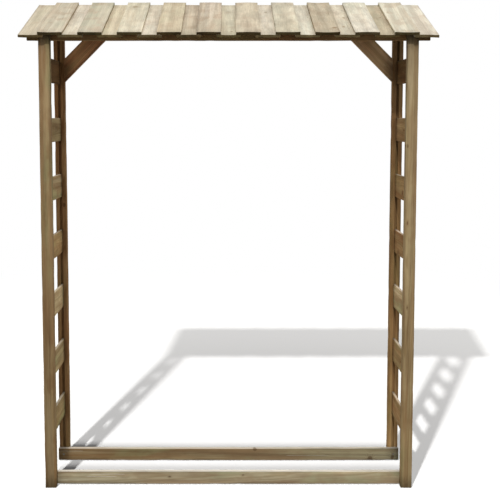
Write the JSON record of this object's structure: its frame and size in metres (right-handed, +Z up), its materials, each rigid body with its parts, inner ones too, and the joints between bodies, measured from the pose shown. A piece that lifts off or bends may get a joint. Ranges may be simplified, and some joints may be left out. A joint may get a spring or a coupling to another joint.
{
  "type": "log store",
  "caption": "Open-fronted garden log store in impregnated pine: posts with slatted sides, bottom rails, braces and a board-on-board roof that falls to the front.",
  "frame": {"origin": "on the ground, under the middle of the roof", "axes": "+Z up, +Y to the back, where the roof is high, and +X to the right as seen from the front"},
  "size_m": [1.5, 0.4462, 1.8322],
  "materials": {
    "frame_timber": "planed impregnated pine, olive-brown, matt",
    "roof_timber": "sawn impregnated pine, pale cream with greenish and pinkish boards, matt"
  },
  "bodies": {
    "root": {"front_left_post": "frame_timber", "front_right_post": "frame_timber", "back_left_post": "frame_timber", "back_right_post": "frame_timber", "left_slat_1": "frame_timber", "left_slat_2": "frame_timber", "left_slat_3": "frame_timber", "left_slat_4": "frame_timber", "left_slat_5": "frame_timber", "left_slat_6": "frame_timber", "left_slat_7": "frame_timber", "right_slat_1": "frame_timber", "right_slat_2": "frame_timber", "right_slat_3": "frame_timber", "right_slat_4": "frame_timber", "right_slat_5": "frame_timber", "right_slat_6": "frame_timber", "right_slat_7": "frame_timber", "front_bottom_rail": "frame_timber", "back_bottom_rail": "frame_timber", "front_roof_batten": "frame_timber", "back_roof_batten": "frame_timber", "left_brace": "frame_timber", "right_brace": "frame_timber", "lower_roof_board_01": "roof_timber", "lower_roof_board_02": "roof_timber", "lower_roof_board_03": "roof_timber", "lower_roof_board_04": "roof_timber", "lower_roof_board_05": "roof_timber", "lower_roof_board_06": "roof_timber", "lower_roof_board_07": "roof_timber", "lower_roof_board_08": "roof_timber", "lower_roof_board_09": "roof_timber", "lower_roof_board_10": "roof_timber", "lower_roof_board_11": "roof_timber", "upper_roof_board_01": "roof_timber", "upper_roof_board_02": "roof_timber", "upper_roof_board_03": "roof_timber", "upper_roof_board_04": "roof_timber", "upper_roof_board_05": "roof_timber", "upper_roof_board_06": "roof_timber", "upper_roof_board_07": "roof_timber", "upper_roof_board_08": "roof_timber", "upper_roof_board_09": "roof_timber", "upper_roof_board_10": "roof_timber"}
  },
  "joints": []
}
